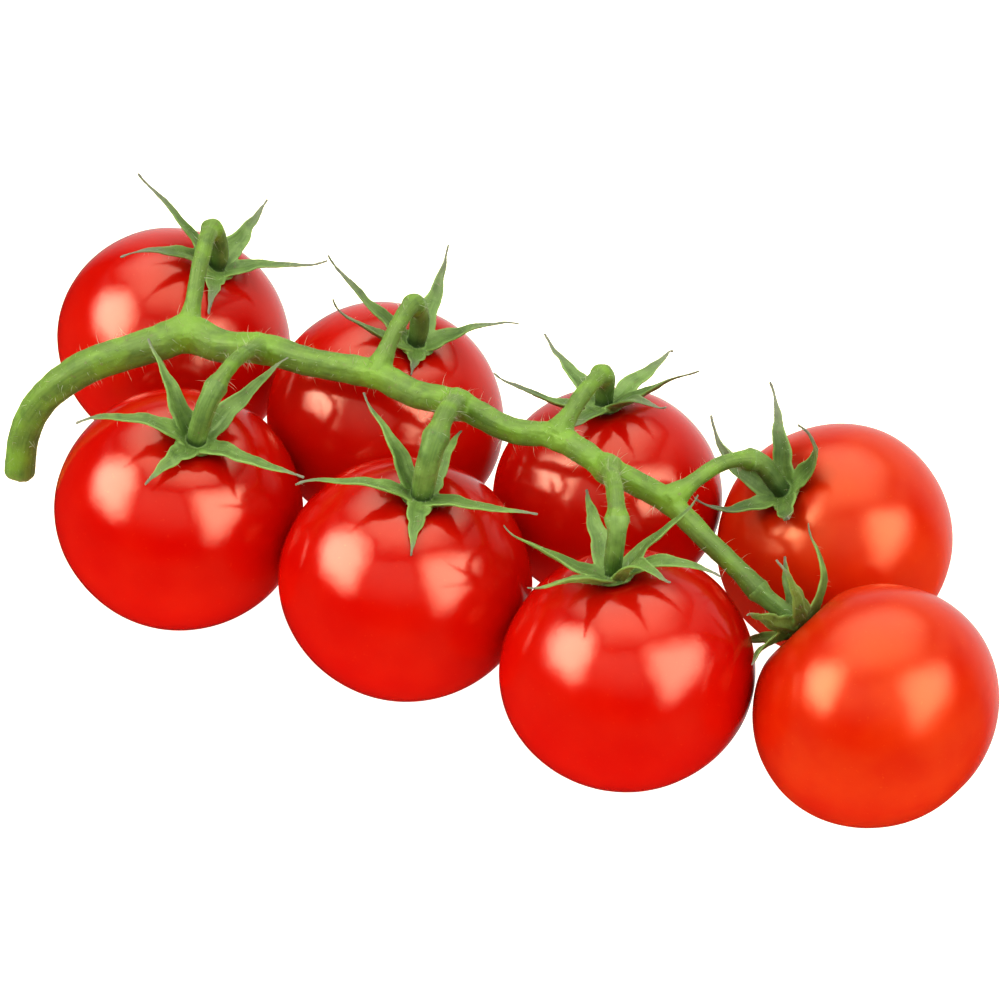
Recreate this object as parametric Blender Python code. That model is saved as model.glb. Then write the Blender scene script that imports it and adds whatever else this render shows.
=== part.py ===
"""A truss of eight small tomatoes, as cut from the vine and laid down (metres, +Z up).

The tomatoes stand in two rows of four, each on a small flat spot at Z = 0. The main stem runs above
the groove between the rows, along X, from its cut end at -X to the last tomato at +X. A stalk rises from
it for each tomato, bends over at a swollen knuckle and ends in a star of narrow sepals.
"""

from math import atan2, cos, exp, hypot, pi, radians, sin
from typing import NamedTuple

import bmesh
import bpy
from mathutils import Quaternion, Vector

MM = 0.001

# Middle of the truss's footprint in the drawing whose numbers follow (all in mm and degrees)
MIDDLE = Vector((-0.36, -1.25, 0.0))

# Fruit: a little flatter than a ball, with a dimple at the calyx and five faint shoulders round it
TALL = 0.93
DIMPLE_DEPTH = 1.85
DIMPLE_RADIUS = 4.5
SHOULDERS = 5
SHOULDER_SWELL = 0.012
FRUIT_SIDES = 24
FRUIT_RINGS = 14
FOOT_SINK = 0.3
SKIN_ROUGHNESS = 0.18

# Calyx: a round seat just above the dimple's floor, which the sepals and the neck grow from
SEAT_LIFT = 0.9
SEAT_RADIUS = 2.6
SEAT_ABOVE = 0.9
SEAT_BELOW = 0.35
SEAT_SIDES = 12
SEAT_RINGS = 6
NECK_FLARE = 0.5
NECK_FLARE_LENGTH = 1.2

# Sepal: a blade with a shallow channel, widest near its root and drawn out to a narrow tip
SEPAL_WIDTH = 3.2
SEPAL_TIP_WIDTH = 0.55
SEPAL_THICKNESS = 0.7
SEPAL_CHANNEL = 0.3
SEPAL_ROOT = 1.5
SEPAL_WIDEST = 0.15
SEPAL_ROOT_WIDTH = 0.92
SEPAL_TAPER = 1.05
SEPAL_STEPS = 6
CALYX_ROUGHNESS = 0.55

# Stalk: thicker where it leaves the main stem and at its knuckle
STALK_RISE = 0.3
STALK_FLARE = 0.8
STALK_FLARE_LENGTH = 2.4
KNUCKLE_SWELL = 0.4
KNUCKLE_LENGTH = 1.4
KNUCKLE_GAP = 0.4
KNUCKLE_STRAIGHT = 0.7
STALK_STEPS = 8
STALK_SIDES = 8
NECK_STEPS = 4
STEM_ROUGHNESS = 0.6

# Main stem: points of its route with the radius at each, from the cut end to the last knuckle
MAIN_STEM = (
    ((-65.9, -15.1, 12.0), 2.15),
    ((-64.9, -13.9, 19.0), 2.1),
    ((-62.3, -12.6, 24.5), 2.15),
    ((-58.5, -10.7, 28.5), 2.3),
    ((-55.1, -8.6, 30.5), 2.35),
    ((-51.9, -5.9, 31.2), 2.35),
    ((-49.1, -2.6, 31.3), 2.5),
    ((-46.4, 0.4, 31.5), 2.6),
    ((-41.0, 0.1, 31.2), 2.25),
    ((-35.1, 0.4, 32.5), 2.1),
    ((-27.3, -0.2, 33.0), 1.95),
    ((-18.1, 0.3, 33.5), 1.95),
    ((-11.8, -0.9, 33.2), 1.85),
    ((-5.5, -1.5, 34.0), 1.85),
    ((2.8, -3.1, 33.5), 1.7),
    ((9.1, -2.7, 34.0), 1.7),
    ((17.2, -5.1, 33.5), 1.65),
    ((25.7, -5.0, 30.5), 1.6),
    ((32.3, -7.8, 28.5), 1.35),
    ((37.6, -9.9, 26.8), 1.3),
    ((40.3, -10.9, 25.5), 1.6),
)
MAIN_STEM_STEPS = 2
MAIN_STEM_SIDES = 10


class Tomato(NamedTuple):
    """One fruit with its stalk and calyx."""

    place: tuple  # x and y of the fruit's centre
    diameter: float
    lean: float  # how far its axis leans from upright
    toward: float  # compass turn from +X that it leans to
    branch: int  # number of the main stem's point that its stalk grows from
    knuckle: tuple
    stalk: float  # radius of the stalk
    neck: float  # radius of the neck between knuckle and calyx
    sepals: tuple  # for each: turn, length, rise at its root, rise at its tip, sweep


TOMATOES = (
    Tomato((-57.6, 15.8), 33.6, 27, 25, 7, (-50.8, 16.8, 36.6), 1.3, 1.5, (
        (190, 16.0, 40, -5, -10),
        (230, 16.5, 30, -25, 15),
        (290, 8.5, 10, -40, 10),
        (30, 14.5, 35, 5, 10),
        (90, 15.0, 40, -20, 10),
    )),
    Tomato((-40.1, -16.2), 33.6, 16, -14, 9, (-34.1, -14.3, 37.4), 1.2, 1.6, (
        (155, 14.0, 40, 0, -15),
        (205, 16.0, 35, -15, 25),
        (262, 9.5, 20, -25, -10),
        (350, 16.0, 30, 10, 5),
        (70, 15.5, 35, 20, 0),
    )),
    Tomato((-22.9, 12.8), 33.2, 18, 12, 11, (-17.8, 11.8, 37.1), 1.3, 1.55, (
        (190, 16.0, 30, 20, -10),
        (235, 16.5, 25, 40, -30),
        (290, 5.0, 10, -20, 0),
        (30, 13.5, 40, 30, -10),
        (100, 15.5, 35, 0, 10),
    )),
    Tomato((-6.3, -16.7), 33.5, 9, 25, 13, (-3.0, -13.5, 38.5), 1.5, 1.75, (
        (155, 14.5, 40, 10, -5),
        (220, 16.5, 30, -10, -5),
        (285, 9.0, 10, -38, 10),
        (350, 16.0, 30, 10, 10),
        (88, 11.0, 30, 0, 5),
    )),
    Tomato((11.3, 10.8), 31.2, 14, 126, 15, (10.3, 9.9, 35.3), 1.3, 1.5, (
        (155, 15.0, 30, 5, -30),
        (225, 16.0, 20, 40, -5),
        (275, 12.0, 20, -20, -45),
        (325, 14.5, 35, -5, 5),
        (10, 14.0, 30, 25, -20),
        (55, 15.0, 30, -20, 50),
    )),
    Tomato((26.8, -20.8), 32.8, 14, 148, 16, (23.6, -17.7, 37.1), 1.3, 1.4, (
        (205, 14.5, 30, 45, -5),
        (255, 15.5, 30, 15, -5),
        (325, 14.5, 50, -25, 0),
        (5, 14.0, 30, -25, -15),
        (50, 13.5, 35, 25, -15),
        (130, 14.5, 35, 0, -15),
    )),
    Tomato((42.9, 13.4), 31.9, 36, -137, 17, (32.8, 6.0, 31.5), 1.2, 1.5, (
        (90, 13.5, 35, 10, 25),
        (165, 14.5, 35, 0, -65),
        (230, 13.5, 35, 85, 10),
        (305, 14.0, 30, 50, 25),
        (25, 14.0, 25, 100, -5),
    )),
    Tomato((58.2, -14.8), 32.1, 61, 165, 20, (40.3, -10.9, 25.5), 1.3, 1.4, (
        (325, 14.5, 15, 55, -10),
        (20, 13.0, 15, 95, -5),
        (95, 11.0, 55, 30, 0),
        (165, 13.5, 15, 20, -30),
        (245, 8.5, 25, -35, 25),
        (285, 13.5, 30, 20, 15),
    )),
)

RED = (0.53, 0.018, 0.008, 1)
ORANGE_RED = (0.66, 0.055, 0.012, 1)
STEM_GREEN = (0.16, 0.26, 0.045, 1)
CALYX_GREEN = (0.07, 0.17, 0.028, 1)
LIGHTER_TOMATOES = (7, 8)

WELD = 0.01
SHARP_EDGE = 40


def remove_all_objects():
    for item in list(bpy.data.objects):
        bpy.data.objects.remove(item, do_unlink=True)


def new_material(name, colour, roughness):
    material = bpy.data.materials.new(name)
    material.use_nodes = True
    shader = material.node_tree.nodes["Principled BSDF"]
    shader.inputs["Base Color"].default_value = colour
    shader.inputs["Roughness"].default_value = roughness
    shader.inputs["Metallic"].default_value = 0
    return material


def drawn(x, y, z):
    """A point of the drawing (mm) in the part's frame (m)."""
    return (Vector((x, y, z)) - MIDDLE) * MM


def new_object(name, data, collection):
    item = bpy.data.objects.new(name, data)
    collection.objects.link(item)
    return item


def object_from_bmesh(name, bm, collection):
    bmesh.ops.recalc_face_normals(bm, faces=bm.faces)
    mesh = bpy.data.meshes.new(name)
    bm.to_mesh(mesh)
    bm.free()
    return new_object(name, mesh, collection)


def finish(item, root, material, place=(0, 0, 0), turn=Quaternion()):
    """Shade a piece, give it its material, and put it in its place on the truss."""
    item.data.shade_smooth()
    item.data.set_sharp_from_angle(angle=radians(SHARP_EDGE))
    item.data.materials.append(material)
    item.parent = root
    item.location = place
    item.rotation_mode = "QUATERNION"
    item.rotation_quaternion = turn


def fruit_centre(tomato):
    """The centre stands as high as the leaning fruit needs to rest on its foot."""
    lean = radians(tomato.lean)
    height = tomato.diameter / 2 * hypot(sin(lean), TALL * cos(lean)) - FOOT_SINK
    return drawn(*tomato.place, height)


def fruit_turn(tomato):
    """Rotation from a fruit that stands upright to the leaning one."""
    lean = radians(tomato.lean)
    toward = radians(tomato.toward)
    axis = Vector((sin(lean) * cos(toward), sin(lean) * sin(toward), cos(lean)))
    return Vector((0, 0, 1)).rotation_difference(axis)


def seat_centre(tomato):
    height = (TALL * tomato.diameter / 2 - DIMPLE_DEPTH + SEAT_LIFT) * MM
    return fruit_centre(tomato) + fruit_turn(tomato) @ Vector((0, 0, height))


def fruit_point(unit, radius):
    """Move a point of the unit sphere onto the upright fruit's skin (m)."""
    across = hypot(unit.x, unit.y)
    near_top = (1 + unit.z) / 2
    shoulders = cos(SHOULDERS * atan2(unit.y, unit.x))
    swell = 1 + SHOULDER_SWELL * near_top * across * shoulders
    dimple = DIMPLE_DEPTH * exp(-(across * radius / DIMPLE_RADIUS) ** 2) if unit.z > 0 else 0
    height = TALL * radius * unit.z - dimple
    return Vector((unit.x * radius * swell, unit.y * radius * swell, height)) * MM


def make_fruit(number, tomato, collection):
    """An upright fruit about its centre, cut flat where it rests once it leans in its place."""
    bm = bmesh.new()
    bmesh.ops.create_uvsphere(bm, u_segments=FRUIT_SIDES, v_segments=FRUIT_RINGS, radius=1)
    for vert in bm.verts:
        vert.co = fruit_point(vert.co, tomato.diameter / 2)
    upright = fruit_turn(tomato).inverted()
    surface = upright @ Vector((0, 0, -fruit_centre(tomato).z))
    up = upright @ Vector((0, 0, 1))
    everything = bm.verts[:] + bm.edges[:] + bm.faces[:]
    cut = bmesh.ops.bisect_plane(
        bm, geom=everything, plane_co=surface, plane_no=up, clear_inner=True)
    rim = [part for part in cut["geom_cut"] if isinstance(part, bmesh.types.BMEdge)]
    bmesh.ops.edgeloop_fill(bm, edges=rim)
    return object_from_bmesh(f"tomato_{number}", bm, collection)


def hermite(start, end, leave, arrive, steps):
    """Points of a smooth curve that leaves and arrives along the given unit directions."""
    reach = (end - start).length
    points = []
    for step in range(steps + 1):
        t = step / steps
        points.append(
            start * (2 * t**3 - 3 * t**2 + 1)
            + leave * reach * (t**3 - 2 * t**2 + t)
            + end * (3 * t**2 - 2 * t**3)
            + arrive * reach * (t**3 - t**2)
        )
    return points


def smooth_route(route, steps):
    """Points and radii along a smooth curve through the route's own points."""
    places = [drawn(*place) for place, _ in route]
    radii = [radius for _, radius in route]
    smooth = []
    for index in range(len(places) - 1):
        before = places[max(index - 1, 0)]
        start, end = places[index], places[index + 1]
        after = places[min(index + 2, len(places) - 1)]
        leave = (end - before).normalized()
        arrive = (after - start).normalized()
        for step, point in enumerate(hermite(start, end, leave, arrive, steps)[:-1]):
            share = step / steps
            smooth.append((point, radii[index] * (1 - share) + radii[index + 1] * share))
    smooth.append((places[-1], radii[-1]))
    return smooth


def make_tube(name, path, sides, collection):
    """A closed tube along points (m), with its own radius (mm) at each."""
    curve = bpy.data.curves.new(name, "CURVE")
    curve.dimensions = "3D"
    curve.bevel_depth = MM
    curve.bevel_resolution = (sides - 4) // 2
    curve.use_fill_caps = True
    spline = curve.splines.new("POLY")
    spline.points.add(len(path) - 1)
    for point, (place, radius) in zip(spline.points, path):
        point.co = (*place, 1)
        point.radius = radius
    guide = new_object(name, curve, collection)
    graph = bpy.context.evaluated_depsgraph_get()
    mesh = bpy.data.meshes.new_from_object(guide.evaluated_get(graph))
    bpy.data.objects.remove(guide, do_unlink=True)
    bm = bmesh.new()
    bm.from_mesh(mesh)
    bmesh.ops.remove_doubles(bm, verts=bm.verts, dist=WELD * MM)
    bpy.data.meshes.remove(mesh)
    return object_from_bmesh(name, bm, collection)


def bell(distance, length):
    """Falls smoothly from 1 to 0 as the distance grows past the length."""
    return exp(-((distance / length) ** 2))


def along(points):
    """Distance (mm) of each point from the first."""
    distances = [0.0]
    for before, after in zip(points, points[1:]):
        distances.append(distances[-1] + (after - before).length / MM)
    return distances


def knuckle_direction(tomato):
    """Direction in which the stalk passes through its knuckle."""
    branch = drawn(*MAIN_STEM[tomato.branch][0])
    knuckle = drawn(*tomato.knuckle)
    seat = seat_centre(tomato)
    if branch == knuckle:
        branch = drawn(*MAIN_STEM[tomato.branch - 1][0])
    return ((knuckle - branch).normalized() + (seat - knuckle).normalized()).normalized()


def stalk_path(tomato):
    """The stalk from the middle of the main stem to just short of the knuckle."""
    start = drawn(*MAIN_STEM[tomato.branch][0])
    direction = knuckle_direction(tomato)
    end = drawn(*tomato.knuckle) - direction * KNUCKLE_GAP / 2 * MM
    bend_end = end - direction * KNUCKLE_STRAIGHT * MM
    leave = ((end - start).normalized() + Vector((0, 0, STALK_RISE))).normalized()
    points = hermite(start, bend_end, leave, direction, STALK_STEPS) + [end]
    path = []
    length = along(points)[-1]
    for point, distance in zip(points, along(points)):
        flare = STALK_FLARE * bell(distance, STALK_FLARE_LENGTH)
        knuckle = KNUCKLE_SWELL * bell(length - distance, KNUCKLE_LENGTH)
        path.append((point, tomato.stalk + flare + knuckle))
    return path


def neck_path(tomato):
    """The neck from just past the knuckle into the seat, as seen from the upright calyx."""
    upright = fruit_turn(tomato).inverted()
    direction = upright @ knuckle_direction(tomato)
    knuckle = upright @ (drawn(*tomato.knuckle) - seat_centre(tomato))
    start = knuckle + direction * KNUCKLE_GAP / 2 * MM
    bend_start = start + direction * KNUCKLE_STRAIGHT * MM
    seat = Vector((0, 0, 0))
    down = Vector((0, 0, -1))
    points = [start] + hermite(bend_start, seat, direction, down, NECK_STEPS)
    path = []
    length = along(points)[-1]
    for point, distance in zip(points, along(points)):
        swell = (tomato.stalk + KNUCKLE_SWELL - tomato.neck) * bell(distance, KNUCKLE_LENGTH)
        flare = NECK_FLARE * bell(length - distance, NECK_FLARE_LENGTH)
        path.append((point, tomato.neck + swell + flare))
    return path


def make_seat(collection):
    """The round seat that the sepals grow from, fuller above than below."""
    bm = bmesh.new()
    bmesh.ops.create_uvsphere(bm, u_segments=SEAT_SIDES, v_segments=SEAT_RINGS, radius=1)
    for vert in bm.verts:
        thickness = SEAT_ABOVE if vert.co.z > 0 else SEAT_BELOW
        vert.co.x *= SEAT_RADIUS * MM
        vert.co.y *= SEAT_RADIUS * MM
        vert.co.z *= thickness * MM
    return object_from_bmesh("seat", bm, collection)


def sepal_width(share):
    """Width (mm) of a sepal at a share of its length."""
    growth = sin(pi / 2 * min(share / SEPAL_WIDEST, 1))
    swell = SEPAL_ROOT_WIDTH + (1 - SEPAL_ROOT_WIDTH) * growth
    taper = (1 - max((share - SEPAL_WIDEST) / (1 - SEPAL_WIDEST), 0)) ** SEPAL_TAPER
    return max(SEPAL_WIDTH * swell * taper, SEPAL_TIP_WIDTH)


def sepal_section(centre, side, normal, width):
    """Six points round a blade: a shallow V with a top and an underside."""
    points = []
    for half, sign in ((0.5, 1), (-0.5, -1)):
        lift = normal * SEPAL_THICKNESS * half * MM
        for across in (0.5 * sign, 0, -0.5 * sign):
            channel = SEPAL_CHANNEL * (2 * abs(across) - 0.5) * width / SEPAL_WIDTH
            points.append(centre + side * across * width * MM + normal * channel * MM + lift)
    return points


def make_sepal(sepal, collection):
    """A blade lofted along a spine that rises from the upright calyx's seat and bends."""
    turn, length, root_rise, tip_rise, sweep = sepal
    heading = radians(turn)
    centre = Vector((cos(heading), sin(heading), 0)) * SEPAL_ROOT * MM
    bm = bmesh.new()
    rings = []
    for step in range(SEPAL_STEPS + 1):
        share = step / SEPAL_STEPS
        heading = radians(turn + sweep * share)
        rise = radians(root_rise + (tip_rise - root_rise) * share)
        forward = Vector((cos(heading) * cos(rise), sin(heading) * cos(rise), sin(rise)))
        side = Vector((-sin(heading), cos(heading), 0))
        section = sepal_section(centre, side, forward.cross(side), sepal_width(share))
        rings.append([bm.verts.new(point) for point in section])
        centre = centre + forward * length / SEPAL_STEPS * MM
    for near, far in zip(rings, rings[1:]):
        for index in range(len(near)):
            following = (index + 1) % len(near)
            bm.faces.new((near[index], near[following], far[following], far[index]))
    bm.faces.new(rings[0][::-1])
    bm.faces.new(rings[-1])
    bmesh.ops.triangulate(bm, faces=bm.faces)
    return object_from_bmesh("sepal", bm, collection)


def fuse(name, base, others, collection):
    """Join pieces that run into each other into one closed body."""
    joined = bpy.data.collections.new("joined")
    bpy.context.scene.collection.children.link(joined)
    for item in others:
        collection.objects.unlink(item)
        joined.objects.link(item)
    union = base.modifiers.new("union", "BOOLEAN")
    union.operation = "UNION"
    union.operand_type = "COLLECTION"
    union.collection = joined
    union.solver = "MANIFOLD"
    graph = bpy.context.evaluated_depsgraph_get()
    mesh = bpy.data.meshes.new_from_object(base.evaluated_get(graph))
    for item in [base, *others]:
        bpy.data.objects.remove(item, do_unlink=True)
    bpy.data.collections.remove(joined)
    bm = bmesh.new()
    bm.from_mesh(mesh)
    bpy.data.meshes.remove(mesh)
    bmesh.ops.triangulate(bm, faces=bm.faces)
    return object_from_bmesh(name, bm, collection)


def make_stem(collection):
    """The main stem with the stalks of all but the last tomato, which is its own end."""
    main_path = smooth_route(MAIN_STEM, MAIN_STEM_STEPS)
    knuckle, radius = main_path.pop()
    direction = knuckle_direction(TOMATOES[-1]) * MM
    for short in (KNUCKLE_GAP / 2 + KNUCKLE_STRAIGHT, KNUCKLE_GAP / 2):
        main_path.append((knuckle - direction * short, radius))
    main = make_tube("main_stem", main_path, MAIN_STEM_SIDES, collection)
    stalks = [
        make_tube("stalk", stalk_path(tomato), STALK_SIDES, collection)
        for tomato in TOMATOES
        if tomato.branch < len(MAIN_STEM) - 1
    ]
    return fuse("stem", main, stalks, collection)


def make_calyx(number, tomato, collection):
    """The neck, the seat and the sepals of one tomato."""
    neck = make_tube("neck", neck_path(tomato), STALK_SIDES, collection)
    pieces = [make_seat(collection)]
    pieces += [make_sepal(sepal, collection) for sepal in tomato.sepals]
    return fuse(f"calyx_{number}", neck, pieces, collection)


def main():
    remove_all_objects()
    truss = bpy.data.collections.new("truss of tomatoes")
    bpy.context.scene.collection.children.link(truss)
    root = new_object("truss_root", None, truss)
    red = new_material("tomato_red", RED, SKIN_ROUGHNESS)
    orange_red = new_material("tomato_orange_red", ORANGE_RED, SKIN_ROUGHNESS)
    stem_green = new_material("stem_green", STEM_GREEN, STEM_ROUGHNESS)
    calyx_green = new_material("calyx_green", CALYX_GREEN, CALYX_ROUGHNESS)
    finish(make_stem(truss), root, stem_green)
    for number, tomato in enumerate(TOMATOES, start=1):
        turn = fruit_turn(tomato)
        finish(make_calyx(number, tomato, truss), root, calyx_green, seat_centre(tomato), turn)
        skin = orange_red if number in LIGHTER_TOMATOES else red
        finish(make_fruit(number, tomato, truss), root, skin, fruit_centre(tomato), turn)


main()
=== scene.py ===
# %% [markdown]
# # A truss of eight tomatoes
#
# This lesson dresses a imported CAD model, which stays as the fixed frame. Each piece made here stands for one
# of its nodes and keeps that node's place, so the numbers below are the drawing's own, in millimetres.
# The frame is loaded first, because everything else is measured against it.

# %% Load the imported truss
from math import cos, exp, hypot, pi, radians, sin
from typing import NamedTuple

import bpy
from mathutils import Matrix, Quaternion, Vector


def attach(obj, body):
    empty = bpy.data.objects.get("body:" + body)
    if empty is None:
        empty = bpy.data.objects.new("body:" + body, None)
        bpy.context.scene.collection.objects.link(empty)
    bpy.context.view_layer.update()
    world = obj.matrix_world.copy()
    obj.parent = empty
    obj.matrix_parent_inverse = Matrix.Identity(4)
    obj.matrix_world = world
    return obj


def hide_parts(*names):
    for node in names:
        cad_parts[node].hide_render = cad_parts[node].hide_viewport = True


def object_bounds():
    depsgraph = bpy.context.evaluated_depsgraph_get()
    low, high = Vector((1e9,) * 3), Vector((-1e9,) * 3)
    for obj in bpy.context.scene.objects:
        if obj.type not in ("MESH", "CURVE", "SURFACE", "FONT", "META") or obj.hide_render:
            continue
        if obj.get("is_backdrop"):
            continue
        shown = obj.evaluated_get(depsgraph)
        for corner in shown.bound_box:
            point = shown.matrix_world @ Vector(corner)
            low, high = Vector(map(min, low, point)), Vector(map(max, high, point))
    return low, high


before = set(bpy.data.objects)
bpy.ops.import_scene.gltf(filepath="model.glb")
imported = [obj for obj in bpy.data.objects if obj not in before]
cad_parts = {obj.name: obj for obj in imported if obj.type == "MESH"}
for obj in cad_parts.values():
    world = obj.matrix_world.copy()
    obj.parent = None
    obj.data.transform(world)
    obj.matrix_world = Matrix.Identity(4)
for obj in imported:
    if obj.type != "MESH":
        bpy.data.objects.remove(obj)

cad_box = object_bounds()
print("nodes of the truss:", sorted(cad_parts))
print("CAD box (mm):", [round(side * 1000, 2) for side in cad_box[1] - cad_box[0]])

# %% [markdown]
# ## The truss in numbers
#
# On the real plant a main stem carries a fruit on a short stalk at each node. The stalk bends over at a
# swollen knuckle, where a picked tomato breaks off, and a neck leads from there into the calyx.
# A table of places would be hard to read as bare coordinates, so each tomato is one named record.

# %% Units and the drawing's middle
MM = 0.001
MIDDLE = Vector((-0.36, -1.25, 0.0))


def drawn(x, y, z):
    """A point of the drawing (mm) in the truss's own frame (m)."""
    return (Vector((x, y, z)) - MIDDLE) * MM


print("the drawing's zero lies at", [round(value, 5) for value in drawn(0, 0, 0)])

# %% Main stem: points of its route with the radius at each, from the cut end to the last knuckle
MAIN_STEM = (
    ((-65.9, -15.1, 12.0), 2.15),
    ((-64.9, -13.9, 19.0), 2.1),
    ((-62.3, -12.6, 24.5), 2.15),
    ((-58.5, -10.7, 28.5), 2.3),
    ((-55.1, -8.6, 30.5), 2.35),
    ((-51.9, -5.9, 31.2), 2.35),
    ((-49.1, -2.6, 31.3), 2.5),
    ((-46.4, 0.4, 31.5), 2.6),
    ((-41.0, 0.1, 31.2), 2.25),
    ((-35.1, 0.4, 32.5), 2.1),
    ((-27.3, -0.2, 33.0), 1.95),
    ((-18.1, 0.3, 33.5), 1.95),
    ((-11.8, -0.9, 33.2), 1.85),
    ((-5.5, -1.5, 34.0), 1.85),
    ((2.8, -3.1, 33.5), 1.7),
    ((9.1, -2.7, 34.0), 1.7),
    ((17.2, -5.1, 33.5), 1.65),
    ((25.7, -5.0, 30.5), 1.6),
    ((32.3, -7.8, 28.5), 1.35),
    ((37.6, -9.9, 26.8), 1.3),
    ((40.3, -10.9, 25.5), 1.6),
)
print("points on the main stem:", len(MAIN_STEM))


# %% One record for each tomato, with its stalk and its sepals
class Tomato(NamedTuple):
    """One fruit with its stalk and calyx."""

    place: tuple  # x and y of the fruit's centre
    diameter: float
    lean: float  # how far its axis leans from upright
    toward: float  # compass turn from +X that it leans to
    branch: int  # number of the main stem's point that its stalk grows from
    knuckle: tuple
    stalk: float  # radius of the stalk
    neck: float  # radius of the neck between knuckle and calyx
    sepals: tuple  # for each: turn, length, rise at its root, rise at its tip, sweep


TOMATOES = (
    Tomato((-57.6, 15.8), 33.6, 27, 25, 7, (-50.8, 16.8, 36.6), 1.3, 1.5, (
        (190, 16.0, 40, -5, -10), (230, 16.5, 30, -25, 15), (290, 8.5, 10, -40, 10),
        (30, 14.5, 35, 5, 10), (90, 15.0, 40, -20, 10),
    )),
    Tomato((-40.1, -16.2), 33.6, 16, -14, 9, (-34.1, -14.3, 37.4), 1.2, 1.6, (
        (155, 14.0, 40, 0, -15), (205, 16.0, 35, -15, 25), (262, 9.5, 20, -25, -10),
        (350, 16.0, 30, 10, 5), (70, 15.5, 35, 20, 0),
    )),
    Tomato((-22.9, 12.8), 33.2, 18, 12, 11, (-17.8, 11.8, 37.1), 1.3, 1.55, (
        (190, 16.0, 30, 20, -10), (235, 16.5, 25, 40, -30), (290, 5.0, 10, -20, 0),
        (30, 13.5, 40, 30, -10), (100, 15.5, 35, 0, 10),
    )),
    Tomato((-6.3, -16.7), 33.5, 9, 25, 13, (-3.0, -13.5, 38.5), 1.5, 1.75, (
        (155, 14.5, 40, 10, -5), (220, 16.5, 30, -10, -5), (285, 9.0, 10, -38, 10),
        (350, 16.0, 30, 10, 10), (88, 11.0, 30, 0, 5),
    )),
    Tomato((11.3, 10.8), 31.2, 14, 126, 15, (10.3, 9.9, 35.3), 1.3, 1.5, (
        (155, 15.0, 30, 5, -30), (225, 16.0, 20, 40, -5), (275, 12.0, 20, -20, -45),
        (325, 14.5, 35, -5, 5), (10, 14.0, 30, 25, -20), (55, 15.0, 30, -20, 50),
    )),
    Tomato((26.8, -20.8), 32.8, 14, 148, 16, (23.6, -17.7, 37.1), 1.3, 1.4, (
        (205, 14.5, 30, 45, -5), (255, 15.5, 30, 15, -5), (325, 14.5, 50, -25, 0),
        (5, 14.0, 30, -25, -15), (50, 13.5, 35, 25, -15), (130, 14.5, 35, 0, -15),
    )),
    Tomato((42.9, 13.4), 31.9, 36, -137, 17, (32.8, 6.0, 31.5), 1.2, 1.5, (
        (90, 13.5, 35, 10, 25), (165, 14.5, 35, 0, -65), (230, 13.5, 35, 85, 10),
        (305, 14.0, 30, 50, 25), (25, 14.0, 25, 100, -5),
    )),
    Tomato((58.2, -14.8), 32.1, 61, 165, 20, (40.3, -10.9, 25.5), 1.3, 1.4, (
        (325, 14.5, 15, 55, -10), (20, 13.0, 15, 95, -5), (95, 11.0, 55, 30, 0),
        (165, 13.5, 15, 20, -30), (245, 8.5, 25, -35, 25), (285, 13.5, 30, 20, 15),
    )),
)
LIGHTER_TOMATOES = (7, 8)
print("tomatoes:", len(TOMATOES), "with", sum(len(tomato.sepals) for tomato in TOMATOES), "sepals")

# %% [markdown]
# ## Where each fruit stands
#
# A hanging fruit leans once it is laid down, so its stalk end points a little sideways. The lean sets how
# high its centre stands, because a fruit is slightly flatter than a ball. Both follow from the record, so
# they are worked out here once and used by the fruit, the calyx and the stalk alike.

# %% A leaning fruit's centre, turn and calyx seat
TALL = 0.93
FOOT_SINK = 0.3
DIMPLE_DEPTH = 1.85
SEAT_LIFT = 0.9


def fruit_centre(tomato):
    """The centre stands as high as the leaning fruit needs to rest on its foot."""
    lean = radians(tomato.lean)
    height = tomato.diameter / 2 * hypot(sin(lean), TALL * cos(lean)) - FOOT_SINK
    return drawn(*tomato.place, height)


def fruit_turn(tomato):
    """Rotation from a fruit that stands upright to the leaning one."""
    lean = radians(tomato.lean)
    toward = radians(tomato.toward)
    axis = Vector((sin(lean) * cos(toward), sin(lean) * sin(toward), cos(lean)))
    return Vector((0, 0, 1)).rotation_difference(axis)


def seat_centre(tomato):
    """Middle of the round seat that the sepals grow from."""
    height = (TALL * tomato.diameter / 2 - DIMPLE_DEPTH + SEAT_LIFT) * MM
    return fruit_centre(tomato) + fruit_turn(tomato) @ Vector((0, 0, height))


print("seat heights (mm):", [round(seat_centre(tomato).z / MM, 1) for tomato in TOMATOES])

# %% [markdown]
# ## The camera
#
# The picture looks down on the truss from its front right, from less than half a metre away. A camera can be
# turned with a Track To constraint, but the other views move it freely, so it gets a plain place and turn.

# %% Camera
CAMERA_TURN = 23.448
CAMERA_HEIGHT = 41.0
CAMERA_DISTANCE = 0.45
LENS_WIDTH = 36.0
LENS_LENGTH = 120.69
LOOKED_AT = drawn(0, 0, 18)


def seen_from(turn, height):
    """Unit vector from the truss to where it is seen from: compass turn and height in degrees."""
    turn, height = radians(turn), radians(height)
    return Vector((sin(turn) * cos(height), -cos(turn) * cos(height), sin(height)))


back = seen_from(CAMERA_TURN, CAMERA_HEIGHT)
lens = bpy.data.cameras.new("camera")
lens.sensor_width = LENS_WIDTH
lens.lens = LENS_LENGTH
lens.clip_start = 0.01
camera = bpy.data.objects.new("camera", lens)
camera.location = LOOKED_AT + back * CAMERA_DISTANCE
camera.rotation_mode = "QUATERNION"
camera.rotation_quaternion = (-back).to_track_quat("-Z", "Y")
bpy.context.scene.collection.objects.link(camera)
bpy.context.scene.camera = camera
print("camera at (m)", [round(value, 3) for value in camera.location])

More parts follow.
